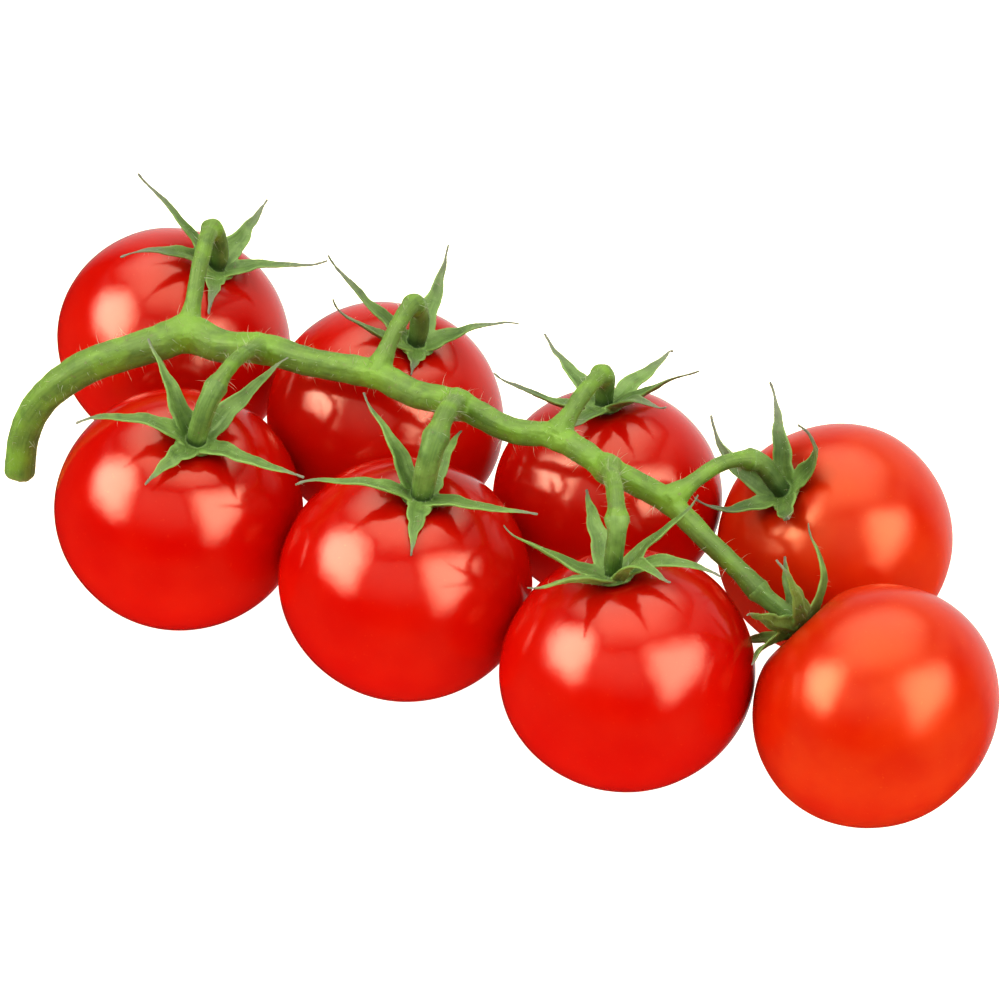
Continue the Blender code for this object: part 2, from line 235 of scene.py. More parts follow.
# %% [markdown]
# ## Small helpers for building with nodes
#
# Materials and Geometry Nodes are both trees of nodes. Wiring them by hand takes three lines for each node,
# so one short function adds any node, fills its inputs and hands over an output. The output is wrapped in a
# small class that knows plus, minus, times and divided by, so a formula reads as one. The rest are for
# vectors, colours and noise.

# %% Helpers that add nodes
class Field:
    """What a node hands on, wrapped so that sums of nodes can be written as plain sums."""

    def __init__(self, tree, socket):
        self.tree, self.socket = tree, socket

    def __add__(self, other):
        return reckon(self.tree, "ADD", self, other)

    def __sub__(self, other):
        return reckon(self.tree, "SUBTRACT", self, other)

    def __mul__(self, other):
        return reckon(self.tree, "MULTIPLY", self, other)

    def __truediv__(self, other):
        return reckon(self.tree, "DIVIDE", self, other)


def fill(tree, node, inputs):
    """Fill a node's inputs with values or with what other nodes hand on."""
    for key, value in inputs.items():
        if isinstance(value, Field):
            tree.links.new(value.socket, node.inputs[key])
        else:
            node.inputs[key].default_value = value


def put(tree, kind, inputs, output=0, **settings):
    """Add a node, choose its settings, fill its inputs, and hand over one of its outputs."""
    node = tree.nodes.new(kind)
    for name, value in settings.items():
        setattr(node, name, value)
    fill(tree, node, inputs)
    return Field(tree, node.outputs[output])


def reckon(tree, operation, *values):
    """One step of arithmetic on numbers."""
    return put(tree, "ShaderNodeMath", dict(enumerate(values)), operation=operation)


def steer(tree, operation, *values, output="Vector", **scale):
    """One step of arithmetic on vectors."""
    inputs = {**dict(enumerate(values)), **scale}
    return put(tree, "ShaderNodeVectorMath", inputs, output, operation=operation)


def parts(tree, vector):
    """The three numbers of a vector."""
    node = put(tree, "ShaderNodeSeparateXYZ", {0: vector}).socket.node
    return [Field(tree, socket) for socket in node.outputs]


def combined(tree, x=0.0, y=0.0, z=0.0):
    """A vector from three numbers."""
    return put(tree, "ShaderNodeCombineXYZ", {0: x, 1: y, 2: z})


def blend_of(tree, share, first, second):
    """A colour between two colours."""
    return put(tree, "ShaderNodeMix", {0: share, 6: first, 7: second}, 2, data_type="RGBA")


def spread_over(tree, value, low, high, new_low, new_high):
    """Stretch a range of numbers over another range, with soft ends, and clamp what falls outside."""
    inputs = {0: value, 1: low, 2: high, 3: new_low, 4: new_high}
    return put(tree, "ShaderNodeMapRange", inputs, interpolation_type="SMOOTHSTEP")


def layered(tree, colour, layers):
    """Lay colours over one another, each by its share where its value has run from low to high."""
    for value, low, high, share, top in layers:
        colour = blend_of(tree, spread_over(tree, value, low, high, 0, share), colour, top)
    return colour


def noise(tree, place, scale, detail=2.0):
    """Soft random numbers about a half."""
    return put(tree, "ShaderNodeTexNoise", {"Vector": place, "Scale": scale, "Detail": detail}, "Fac")


def mottle(tree, size, detail=2.0):
    """Soft random patches about as wide as the given size (m), fixed to the object."""
    return noise(tree, put(tree, "ShaderNodeTexCoord", {}, "Object"), 1 / size, detail)


def noted(tree, name, output="Fac"):
    """What a mesh carries at each of its points, for a material."""
    return put(tree, "ShaderNodeAttribute", {}, output, attribute_name=name)


def new_material(name):
    """A material with its tree and shader."""
    material = bpy.data.materials.new(name)
    material.use_nodes = True
    return material, material.node_tree, material.node_tree.nodes["Principled BSDF"]


print("node helpers are ready")

# %% [markdown]
# ## The floor
#
# The truss lies on a plain white surface that runs out of the picture, as bright as a lit table of milky
# glass: the picture shows hardly any shadow. So the large square gives off a little light of its own. Its
# gloss is faintly uneven, and the fruits don't mirror it, because theirs stay a deep red down to the foot.

# %% Floor
FLOOR_SIDE = 3.0
FLOOR_DROP = 0.00005
FLOOR_GLOW = 0.95
FLOOR_WHITE = (0.75, 0.7, 0.4, 1)
FLOOR_PATCH = 0.02
FLOOR_SMOOTH, FLOOR_ROUGH = 0.6, 0.75

floor_mesh = bpy.data.meshes.new("floor")
half = FLOOR_SIDE / 2
corners = [(x * half, y * half, -FLOOR_DROP) for x, y in ((-1, -1), (1, -1), (1, 1), (-1, 1))]
floor_mesh.from_pydata(corners, [], [(0, 1, 2, 3)])
floor = bpy.data.objects.new("floor", floor_mesh)
floor.visible_glossy = False
bpy.context.scene.collection.objects.link(floor)

white_surface, tree, shader = new_material("white surface")
fill(tree, shader, {
    "Base Color": FLOOR_WHITE,
    "Roughness": spread_over(tree, mottle(tree, FLOOR_PATCH), 0, 1, FLOOR_SMOOTH, FLOOR_ROUGH),
    "Specular IOR Level": 0.2,
    "Emission Color": (1, 1, 1, 1),
    "Emission Strength": FLOOR_GLOW,
})
floor_mesh.materials.append(white_surface)
floor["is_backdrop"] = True
print("floor side (m):", FLOOR_SIDE)

# %% [markdown]
# ## Studio light
#
# Each fruit shows two soft patches of light with a pointed foot, one from the left and a weaker one from the
# right of the camera, and a pale rim where its far edge mirrors a white backdrop. Two area lamps light
# the colours. The gloss mirrors two glowing cards in the same directions, cut to the shape of the patches,
# and a fainter one overhead, so that the highlights can be bright without burning out the red. A sun or a
# point lamp would leave small hard highlights instead.

# %% Soft boxes that light the colours
BOX_DISTANCE = 1.0
SOFT_BOXES = (
    # name, turn and height of its direction, side (m), power (W)
    ("left_box", CAMERA_TURN - 74, 38, 0.90, 4.5),
    ("right_box", CAMERA_TURN + 54, 36, 0.90, 3.4),
)
WARM_WHITE = (1.0, 0.95, 0.88)


def face_truss(item, turn, height, roll=0.0):
    """Put a lamp or card at its distance in the given direction, facing the truss."""
    away = seen_from(turn, height)
    item.location = LOOKED_AT + away * BOX_DISTANCE
    item.rotation_mode = "QUATERNION"
    item.rotation_quaternion = (-away).to_track_quat("-Z", "Y") @ Quaternion((0, 0, 1), radians(roll))
    bpy.context.scene.collection.objects.link(item)


for name, turn, height, side, power in SOFT_BOXES:
    light = bpy.data.lights.new(name, "AREA")
    light.shape = "SQUARE"
    light.size = side
    light.energy = power
    light.color = WARM_WHITE
    lamp = bpy.data.objects.new(name, light)
    lamp.visible_glossy = False
    face_truss(lamp, turn, height)
print("soft boxes:", [soft_box[0] for soft_box in SOFT_BOXES])

# %% Glowing cards that the gloss mirrors
CARD_CORE = 0.3
CARD_EDGE = 1.28
SHINE_CARDS = (
    # name, turn and height of its direction, roll, brightness, outline (m)
    ("left_card", CAMERA_TURN - 80, 37.5, 62, 20.0, (
        (-0.42, 0.26), (-0.28, 0.48), (0.26, 0.48), (0.42, 0.28),
        (0.40, -0.06), (0.08, -0.50), (-0.16, -0.48), (-0.42, -0.1),
    )),
    ("right_card", CAMERA_TURN + 55, 37, -38, 14.0, (
        (-0.52, 0.28), (-0.40, 0.46), (0.42, 0.46), (0.54, 0.26),
        (0.44, -0.1), (0.10, -0.62), (-0.10, -0.62), (-0.42, -0.1),
    )),
    ("ceiling_card", CAMERA_TURN + 180, 68, 0, 5.0, (
        (-0.75, 0.5), (-0.4, 0.75), (0.4, 0.75), (0.75, 0.5),
        (0.75, -0.5), (0.4, -0.75), (-0.4, -0.75), (-0.75, -0.5),
    )),
)


def shine_card(name, turn, height, roll, brightness, outline):
    """A flat card that glows, fades to its edge and is seen by nothing but the gloss."""
    count = len(outline)
    rings = [(x * size, y * size, 0) for size in (CARD_CORE, CARD_EDGE) for x, y in outline]
    faces = [tuple(range(count))]
    for index in range(count):
        following = (index + 1) % count
        faces.append((index, count + index, count + following, following))
    mesh = bpy.data.meshes.new(name)
    mesh.from_pydata(rings, [], faces)
    mesh.attributes.new("core", "FLOAT", "POINT").data.foreach_set("value", [1.0] * count + [0.0] * count)
    glow = bpy.data.materials.new(name)
    glow.use_nodes = True
    tree = glow.node_tree
    tree.nodes.clear()
    strength = spread_over(tree, noted(tree, "core"), 0, 1, 0, brightness)
    glowing = put(tree, "ShaderNodeEmission", {"Color": (*WARM_WHITE, 1), "Strength": strength})
    fill(tree, tree.nodes.new("ShaderNodeOutputMaterial"), {"Surface": glowing})
    mesh.materials.append(glow)
    card = bpy.data.objects.new(name, mesh)
    card.visible_camera = card.visible_diffuse = card.visible_shadow = card.visible_transmission = False
    face_truss(card, turn, height, roll)
    card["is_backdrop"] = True


for shine in SHINE_CARDS:
    shine_card(*shine)
print("cards:", [shine[0] for shine in SHINE_CARDS])

# %% The room: a bright backdrop behind the truss, to the right, and a bright ceiling
ROOM_DIM = 0.02
BACKDROP_BRIGHT = 0.8
CEILING_BRIGHT = 1.5
BACKDROP_TURN = CAMERA_TURN + 155
ROOM_WHITE = (1, 0.99, 0.98, 1)

room = bpy.data.worlds.new("white room")
room.use_nodes = True
tree = room.node_tree
direction = put(tree, "ShaderNodeTexCoord", {}, "Generated")
facing_backdrop = steer(tree, "DOT_PRODUCT", direction, seen_from(BACKDROP_TURN, 0), output="Value")
backdrop = spread_over(tree, facing_backdrop, 0.5, 0.9, ROOM_DIM, BACKDROP_BRIGHT)
ceiling = spread_over(tree, parts(tree, direction)[2], 0.3, 0.85, 0, CEILING_BRIGHT)
fill(tree, tree.nodes["Background"], {"Color": ROOM_WHITE, "Strength": backdrop + ceiling})
bpy.context.scene.world = room
bpy.context.scene.view_settings.view_transform = "Standard"
bpy.context.scene.view_settings.look = "Medium High Contrast"
print("the room is", ROOM_DIM, "to", CEILING_BRIGHT, "bright")

# %% [markdown]
# ## Tomato skin
#
# A ripe tomato's skin is thin, waxy and a little clear, so light sinks in and comes back redder, and the wax
# on top mirrors the room. The base colour wanders slightly, with tiny paler specks, and the skin is a shade
# darker at the stalk end. Subsurface scattering gives the depth. The gloss is tinted, because even the
# brightest patch of light on a tomato stays a warm pink or orange. White gloss would look like plastic.

# %% Skin material
SKIN_COLOURS = {
    # slot: main colour, warmer patches, specks, tint of the gloss, least and most roughness
    "tomato_skin": (
        (0.45, 0.0025, 0.0003, 1), (0.50, 0.007, 0.0005, 1), (0.62, 0.05, 0.01, 1),
        (1, 0.72, 0.52, 1), 0.14, 0.18,
    ),
    "tomato_skin_orange": (
        (0.48, 0.013, 0.0003, 1), (0.54, 0.03, 0.0005, 1), (0.66, 0.09, 0.01, 1),
        (1, 0.7, 0.38, 1), 0.22, 0.268,
    ),
}
SCAR_BROWN = (0.22, 0.09, 0.03, 1)
PATCH_SIZE = 9 * MM
SPECK_SIZE = 0.45 * MM
DENT_SIZE = 1.6 * MM


def skin_material(slot):
    """Waxy skin with warmer patches, faint specks and very shallow dents."""
    main, patches, specks, tint, smooth, rough = SKIN_COLOURS[slot]
    material, tree, shader = new_material(slot)
    axis_share = noted(tree, "axis_share")
    colour = layered(tree, main, (
        # value, low, high, share, colour
        (mottle(tree, PATCH_SIZE, 3), 0.25, 0.8, 1, patches),
        (mottle(tree, SPECK_SIZE, 1), 0.68, 0.8, 0.2, specks),
        (axis_share, 0.8, 1.0, 0.35, (main[0] * 0.7, main[1] * 0.8, main[2], 1)),
        (axis_share, -0.9985, -0.9995, 0.8, SCAR_BROWN),
    ))
    dents = {"Strength": 0.25, "Distance": 0.09 * MM, "Height": mottle(tree, DENT_SIZE, 2)}
    fill(tree, shader, {
        "Base Color": colour,
        "Roughness": spread_over(tree, mottle(tree, PATCH_SIZE, 2), 0.2, 0.8, smooth, rough),
        "Subsurface Weight": 0.1,
        "Subsurface Radius": (1.0, 0.22, 0.1),
        "Subsurface Scale": 2.5 * MM,
        "IOR": 1.45,
        "Specular Tint": tint,
        "Normal": put(tree, "ShaderNodeBump", dents),
    })
    return material


skins = {slot: skin_material(slot) for slot in SKIN_COLOURS}
print("skins:", sorted(skins))

# %% [markdown]
# ## Running a Geometry Nodes tree
#
# A tree needs an object to run on. Its inputs are set by each socket's identifier, before the object is
# first evaluated. The result is then copied into a plain mesh and the object that carried the modifier is
# taken away, because an export knows only plain meshes.

# %% Helpers that make and run a tree
def new_tree(name, inputs):
    """An empty tree with its named inputs: (name, kind of socket, value)."""
    tree = bpy.data.node_groups.new(name, "GeometryNodeTree")
    tree.interface.new_socket("Geometry", in_out="INPUT", socket_type="NodeSocketGeometry")
    for label, kind, value in inputs:
        socket = tree.interface.new_socket(label, in_out="INPUT", socket_type=f"NodeSocket{kind}")
        if value is not None:
            socket.default_value = value
    tree.interface.new_socket("Geometry", in_out="OUTPUT", socket_type="NodeSocketGeometry")
    given = {socket.name: Field(tree, socket) for socket in tree.nodes.new("NodeGroupInput").outputs}
    return tree, given, tree.nodes.new("NodeGroupOutput")


def end_tree(tree, geometry, material, group_output):
    """Every tree ends the same way: smooth shading, real geometry and a material."""
    smooth = put(tree, "GeometryNodeSetShadeSmooth", {"Geometry": geometry})
    real = put(tree, "GeometryNodeRealizeInstances", {"Geometry": smooth})
    painted = put(tree, "GeometryNodeSetMaterial", {"Geometry": real, "Material": material})
    fill(tree, group_output, {0: painted})


def moved_to(tree, geometry, place):
    """Put each point of the geometry at its new place."""
    return put(tree, "GeometryNodeSetPosition", {"Geometry": geometry, "Position": place})


def moved_by(tree, geometry, offset):
    """Shift each point of the geometry."""
    return put(tree, "GeometryNodeSetPosition", {"Geometry": geometry, "Offset": offset})


def store_note(tree, geometry, name, value, kind="FLOAT"):
    """Write a note on each point of the geometry."""
    inputs = {"Geometry": geometry, "Name": name, "Value": value}
    return put(tree, "GeometryNodeStoreNamedAttribute", inputs, data_type=kind)


def plain_copy(item, name):
    """Copy the evaluated object into a plain mesh object and remove the one that carried the modifiers."""
    graph = bpy.context.evaluated_depsgraph_get()
    evaluated = item.evaluated_get(graph)
    mesh = bpy.data.meshes.new_from_object(evaluated, preserve_all_data_layers=True, depsgraph=graph)
    bpy.data.objects.remove(item, do_unlink=True)
    mesh.name = name
    made = bpy.data.objects.new(name, mesh)
    bpy.context.scene.collection.objects.link(made)
    return made


def run_tree(tree, mesh, name, values):
    """Run a tree on a mesh, with values for its named inputs."""
    carrier = bpy.data.objects.new(name + "_carrier", mesh)
    bpy.context.scene.collection.objects.link(carrier)
    modifier = carrier.modifiers.new(tree.name, "NODES")
    modifier.node_group = tree
    for socket in tree.interface.items_tree:
        if socket.in_out == "INPUT" and socket.name in values:
            modifier[socket.identifier] = values[socket.name]
    return plain_copy(carrier, name)


def triangles(mesh):
    """How many triangles the mesh comes to."""
    return sum(len(polygon.vertices) - 2 for polygon in mesh.polygons)


print("tree helpers are ready")

# %% [markdown]
# ## The fruit
#
# A tomato is a slightly flattened ball with a dimple where the stalk goes in, five faint shoulders round it
# and a tiny scar at the other end. That shape follows a rule, so a Geometry Nodes tree makes it: a cube of
# small squares is pushed out onto a ball, which has no crowded poles, and one formula moves every point.
# The part that would sink into the floor is pressed flat, as the real skin is. Sculpting would give the
# same look but no sizes to change.

# %% Fruit tree
FRUIT_SIZES = [
    ("Diameter", "Float", 0.033),
    ("Tallness", "Float", TALL),
    ("Dimple Depth", "Float", DIMPLE_DEPTH * MM),
    ("Dimple Radius", "Float", 4.5 * MM),
    ("Shoulders", "Float", 5.0),
    ("Shoulder Swell", "Float", 0.012),
    ("Scar Depth", "Float", 0.25 * MM),
    ("Scar Radius", "Float", 1.8 * MM),
    ("Unevenness", "Float", 0.09 * MM),
    ("Uneven Patches", "Float", 1.7),
    ("Seed", "Float", 0.0),
    ("Squares", "Int", 56),
    ("Centre Height", "Float", 0.015),
    ("Upward", "Vector", (0.0, 0.0, 1.0)),
    ("Skin", "Material", None),
]


def dip(tree, across, radius, depth):
    """A round dip about the fruit's axis."""
    share = across / radius
    return reckon(tree, "EXPONENT", share * share * -1) * depth


def fruit_surface(tree, given, unit):
    """Where each point of a unit ball goes on the upright fruit."""
    x, y, z = parts(tree, unit)
    radius = given["Diameter"] / 2
    across = reckon(tree, "SQRT", x * x + y * y)
    near_top = (z + 1) / 2
    turn = reckon(tree, "ARCTAN2", y, x) * given["Shoulders"]
    shoulders = reckon(tree, "COSINE", turn) * given["Shoulder Swell"]
    wide = radius * (near_top * across * shoulders + 1)
    from_axis = across * radius
    upper = reckon(tree, "GREATER_THAN", z, 0)
    lower = reckon(tree, "SUBTRACT", 1, upper)
    dimple = dip(tree, from_axis, given["Dimple Radius"], given["Dimple Depth"]) * upper
    scar = dip(tree, from_axis, given["Scar Radius"], given["Scar Depth"]) * lower
    height = z * radius * given["Tallness"] - dimple + scar
    return combined(tree, x * wide, y * wide, height)


def pressed_flat(tree, given, point):
    """Lift whatever lies below the floor onto it; Upward is the floor's up as the upright fruit sees it."""
    sunk = steer(tree, "DOT_PRODUCT", point, given["Upward"], output="Value") + given["Centre Height"]
    lift = reckon(tree, "MAXIMUM", sunk * -1, 0)
    return steer(tree, "ADD", point, steer(tree, "SCALE", given["Upward"], Scale=lift))


fruit_tree, given, group_output = new_tree("tomato fruit", FRUIT_SIZES)
tree = fruit_tree
sides = {"Size": (2, 2, 2), **{f"Vertices {axis}": given["Squares"] for axis in "XYZ"}}
cube = put(tree, "GeometryNodeMeshCube", sides)
spot = put(tree, "GeometryNodeInputPosition", {})
evened = steer(tree, "TANGENT", steer(tree, "SCALE", spot, Scale=pi / 4))
unit = steer(tree, "NORMALIZE", evened)
marked = store_note(tree, cube, "axis_share", parts(tree, unit)[2])
patches = {"Vector": unit, "W": given["Seed"], "Scale": given["Uneven Patches"], "Detail": 2.0}
uneven = put(tree, "ShaderNodeTexNoise", patches, "Fac", noise_dimensions="4D")
bulge = (uneven - 0.5) * given["Unevenness"] * 2
point = steer(tree, "ADD", fruit_surface(tree, given, unit), steer(tree, "SCALE", unit, Scale=bulge))
shaped = moved_to(tree, marked, pressed_flat(tree, given, point))
end_tree(tree, shaped, given["Skin"], group_output)
print("nodes in the fruit tree:", len(tree.nodes))

# %% Eight fruits
SEED_STEP = 3.7

fruits = []
for number, tomato in enumerate(TOMATOES, start=1):
    slot = "tomato_skin_orange" if number in LIGHTER_TOMATOES else "tomato_skin"
    centre, turned = fruit_centre(tomato), fruit_turn(tomato)
    values = {
        "Diameter": tomato.diameter * MM,
        "Seed": number * SEED_STEP,
        "Centre Height": centre.z,
        "Upward": turned.inverted() @ Vector((0, 0, 1)),
        "Skin": skins[slot],
    }
    fruit = run_tree(fruit_tree, bpy.data.meshes.new("seed"), f"fruit_{number}", values)
    fruit.data.transform(Matrix.LocRotScale(centre, turned, None))
    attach(fruit, "root")
    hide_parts(f"tomato_{number}")
    fruits.append(fruit)
print("fruits:", len(fruits), "with", triangles(fruits[0].data), "triangles each")

# %% [markdown]
# ## Green skin
#
# Stem, stalks and sepals are matt and finely hairy. The green runs in faint lengthwise streaks, turns yellow
# at the nodes and knuckles, and is darker on the sepals, whose tips dry to grey. Shade is painted in too: the
# creases at the knuckles, the foot of each neck, the stem's last stretch and some calyxes are painted darker.
# The streaks have to follow each stalk, so the meshes carry notes of their own, such as how far along a point
# is, which side of the stalk it lies on, how young or dry the tissue is there and where shade is painted. The
# cut end shows its paler inside.

# %% Green materials
STREAK_WIDTH = 0.35 * MM
STREAK_LENGTH = 6 * MM
USUAL_THICKNESS = 1.6 * MM
GREENS = {
    # slot: main green, streaks, young tissue
    "stem": ((0.116, 0.200, 0.027, 1), (0.060, 0.118, 0.013, 1), (0.165, 0.315, 0.02, 1)),
    "calyx": ((0.110, 0.200, 0.035, 1), (0.052, 0.106, 0.017, 1), (0.20, 0.335, 0.075, 1)),
}
DRY_BROWN = (0.16, 0.12, 0.06, 1)
DRY_GREY = (0.16, 0.16, 0.125, 1)
# the dark green that painted shade runs to, where the tone note falls below zero
PAINTED_SHADE_GREEN = (0.02, 0.05, 0.006, 1)
PALE_PITH = (0.2, 0.19, 0.08, 1)
BLOTCH_SIZE = 1.6 * MM
YOUNG_PATCH_SIZE = 3 * MM
FLECK_SIZE = 0.8 * MM
GRAIN_SIZE = 0.35 * MM


def streaks(tree):
    """Noise that is stretched along the stalk or sepal."""
    across = steer(tree, "SCALE", noted(tree, "side", "Vector"), Scale=USUAL_THICKNESS / STREAK_WIDTH)
    run = combined(tree, z=noted(tree, "along") / STREAK_LENGTH)
    return noise(tree, steer(tree, "ADD", across, run), 1.0)


def green_material(slot):
    """Matt green with streaks, young and dry places, painted shade and a finely uneven surface."""
    main, dark, young = GREENS[slot]
    material, tree, shader = new_material(slot)
    streak, tone = streaks(tree), noted(tree, "young")
    colour = layered(tree, main, (
        # value, low, high, share, colour
        (streak, 0.35, 0.65, 0.55, dark),
        (mottle(tree, BLOTCH_SIZE, 3), 0.5, 0.72, 0.7, dark),
        (mottle(tree, YOUNG_PATCH_SIZE, 3), 0.42, 0.7, 0.6, young),
        (tone, 0, 1, 0.7, young),
        # where the tone note is below zero the green is painted darker: painted shade
        (tone, -0.1, -1, 0.9, PAINTED_SHADE_GREEN),
    ))
    margin = spread_over(tree, reckon(tree, "ABSOLUTE", noted(tree, "across")), 0.7, 1.0, 0, 0.75)
    colour = blend_of(tree, margin * noted(tree, "blade"), colour, young)
    colour = layered(tree, colour, (
        (mottle(tree, FLECK_SIZE, 1), 0.7, 0.76, 0.5, DRY_BROWN),
        (noted(tree, "dry"), 0, 1, 0.9, DRY_GREY),
    ))
    grain = {"Strength": 0.5, "Distance": 0.09 * MM, "Height": streak + mottle(tree, GRAIN_SIZE, 2)}
    fill(tree, shader, {
        "Base Color": blend_of(tree, noted(tree, "cut"), colour, PALE_PITH),
        "Roughness": spread_over(tree, streak, 0.3, 0.7, 0.48, 0.64),
        "Specular IOR Level": 0.25,
        "Subsurface Weight": 0.1,
        "Subsurface Radius": (0.5, 1.0, 0.2),
        "Subsurface Scale": 0.6 * MM,
        "Sheen Weight": 0.03,
        "Sheen Roughness": 0.5,
        "Sheen Tint": (0.85, 0.95, 0.7, 1),
        "Normal": put(tree, "ShaderNodeBump", grain),
    })
    return material


greens = {slot: green_material(slot) for slot in GREENS}
print("greens:", sorted(greens))

# %% [markdown]
# ## Routes for stem, stalks and necks
#
# A stalk is a soft tube whose thickness changes: it swells where it leaves the stem and at its knuckle. A
# smooth curve needs only its two ends and the direction at each, which is what a Hermite curve takes. Each
# route becomes a line of points that carry their own thickness and notes.

# %% Smooth curves
def hermite(start, end, leave, arrive, steps):
    """Points of a smooth curve that leaves and arrives along the given unit directions."""
    reach = (end - start).length
    points = []
    for step in range(steps + 1):
        t = step / steps
        points.append(
            start * (2 * t**3 - 3 * t**2 + 1)
            + leave * reach * (t**3 - 2 * t**2 + t)
            + end * (3 * t**2 - 2 * t**3)
            + arrive * reach * (t**3 - t**2)
        )
    return points


def distances(points):
    """Distance (mm) of each point from the first."""
    made = [0.0]
    for before, after in zip(points, points[1:]):
        made.append(made[-1] + (after - before).length / MM)
    return made


def bell(distance, length):
    """Falls smoothly from 1 to 0 as the distance grows past the length."""
    return exp(-((distance / length) ** 2))


print("bell at one length:", round(bell(1, 1), 3))

# %% The line of points that a tree grows a skin on
# the tone note is positive where the tissue is young and yellower, and negative where shade is painted
NOTES = ("thickness", "along", "dry", "young", "blade", "cut")


class Line:
    """A route: its points, their notes by name, and the way the face of a blade looks at each."""

    def __init__(self):
        self.points, self.faces = [], []
        self.notes = {name: [] for name in NOTES}

    def add(self, point, face=(0, 0, 1), **notes):
        self.points.append(point)
        self.faces.append(face)
        for name in NOTES:
            self.notes[name].append(notes.get(name, 0.0))


def mesh_of_lines(name, lines):
    """One mesh of loose edges that holds all the lines with their notes."""
    points, edges = [], []
    for line in lines:
        first = len(points)
        points.extend(line.points)
        edges.extend((first + index, first + index + 1) for index in range(len(line.points) - 1))
    mesh = bpy.data.meshes.new(name)
    mesh.from_pydata(points, edges, [])
    for note in NOTES:
        values = [value for line in lines for value in line.notes[note]]
        mesh.attributes.new(note, "FLOAT", "POINT").data.foreach_set("value", values)
    faces = [value for line in lines for face in line.faces for value in face]
    mesh.attributes.new("face", "FLOAT_VECTOR", "POINT").data.foreach_set("vector", faces)
    return mesh


print("notes on each point:", NOTES)

# %% Main stem
MAIN_STEM_STEPS = 9
NODE_LENGTH = 3.5
LAST_STRETCH = 14.0
LAST_SHADE = 0.55
NODE_YOUTH = 0.9
CUT_LENGTH = 0.01
KNUCKLE_OVERLAP = 0.2


def knuckle_direction(tomato):
    """Direction in which the stalk passes through its knuckle."""
    branch = drawn(*MAIN_STEM[tomato.branch][0])
    knuckle = drawn(*tomato.knuckle)
    if branch == knuckle:
        branch = drawn(*MAIN_STEM[tomato.branch - 1][0])
    return ((knuckle - branch).normalized() + (seat_centre(tomato) - knuckle).normalized()).normalized()


def main_stem_line():
    """A smooth line through the main stem's own points."""
    places = [drawn(*place) for place, _ in MAIN_STEM]
    nodes = [places[tomato.branch] for tomato in TOMATOES[:-1]]
    line = Line()
    route = []
    for index in range(len(places) - 1):
        start, end = places[index], places[index + 1]
        leave = (end - places[max(index - 1, 0)]).normalized()
        arrive = (places[min(index + 2, len(places) - 1)] - start).normalized()
        for step, point in enumerate(hermite(start, end, leave, arrive, MAIN_STEM_STEPS)[:-1]):
            share = step / MAIN_STEM_STEPS
            route.append((point, MAIN_STEM[index][1] * (1 - share) + MAIN_STEM[index + 1][1] * share))
    route.append((places[-1] + knuckle_direction(TOMATOES[-1]) * KNUCKLE_OVERLAP * MM, MAIN_STEM[-1][1]))
    lengths = distances([point for point, _ in route])
    for (point, radius), distance in zip(route, lengths):
        nearest = min((point - node).length for node in nodes) / MM
        last_stretch = max(1 - (lengths[-1] - distance) / LAST_STRETCH, 0)
        line.add(
            point,
            thickness=radius * MM,
            along=distance * MM,
            # the last stretch of the main stem is painted darker toward its knuckle: painted shade
            young=NODE_YOUTH * bell(nearest, NODE_LENGTH) - LAST_SHADE * last_stretch,
            cut=1.0 if distance < CUT_LENGTH else 0.0,
        )
    return line


main_stem = main_stem_line()
print("main stem (mm):", round(main_stem.notes["along"][-1] / MM, 1))

# %% Stalks, from the main stem up to the knuckle
STALK_RISE = 0.3
STALK_STEPS = 26
STALK_SLIMNESS = 0.16
STALK_FLARE = 0.95
STALK_FLARE_LENGTH = 2.6
KNUCKLE_SWELL = 0.5
KNUCKLE_LENGTH = 1.0
KNUCKLE_STRAIGHT = 0.7
CREASE_DEPTH = 0.14
CREASE_LENGTH = 0.55
CREASE_SHADE = 0.9
STALK_YOUTH = 0.7
KNUCKLE_YOUTH = 0.6


def stalk_line(tomato):
    """The stalk from the middle of the main stem to the knuckle."""
    start = drawn(*MAIN_STEM[tomato.branch][0])
    direction = knuckle_direction(tomato)
    end = drawn(*tomato.knuckle) + direction * KNUCKLE_OVERLAP * MM
    bend_end = end - direction * KNUCKLE_STRAIGHT * MM
    leave = ((end - start).normalized() + Vector((0, 0, STALK_RISE))).normalized()
    points = [*hermite(start, bend_end, leave, direction, STALK_STEPS), (bend_end + end) / 2, end]
    lengths = distances(points)
    line = Line()
    for point, distance in zip(points, lengths):
        flare = STALK_FLARE * bell(distance, STALK_FLARE_LENGTH)
        knuckle = bell(lengths[-1] - distance, KNUCKLE_LENGTH)
        crease = bell(lengths[-1] - distance, CREASE_LENGTH)
        swell = flare + KNUCKLE_SWELL * knuckle - CREASE_DEPTH * crease
        tone = max(STALK_YOUTH * bell(distance, NODE_LENGTH), KNUCKLE_YOUTH * knuckle)
        line.add(
            point,
            thickness=(tomato.stalk - STALK_SLIMNESS * (1 - knuckle) + swell) * MM,
            along=distance * MM,
            # the crease at the knuckle is painted darker: painted shade
            young=tone - CREASE_SHADE * crease,
        )
    return line


stalks = [stalk_line(tomato) for tomato in TOMATOES[:-1]]
print("stalks (mm):", [round(line.notes["along"][-1] / MM, 1) for line in stalks])

# %% Necks, from the knuckle down into the calyx, and the round seats
NECK_STEPS = 18
NECK_FULLNESS = -0.2
NECK_FOOT_WAIST = 0.15
NECK_FOOT_LENGTH = 1.3
NECK_FOOT_SHADE = 1.0
SEAT_RADIUS = 2.7
SEAT_ABOVE = 0.2
SEAT_BELOW = 0.6
SEAT_STEPS = 12
LEAST_RADIUS = 0.02


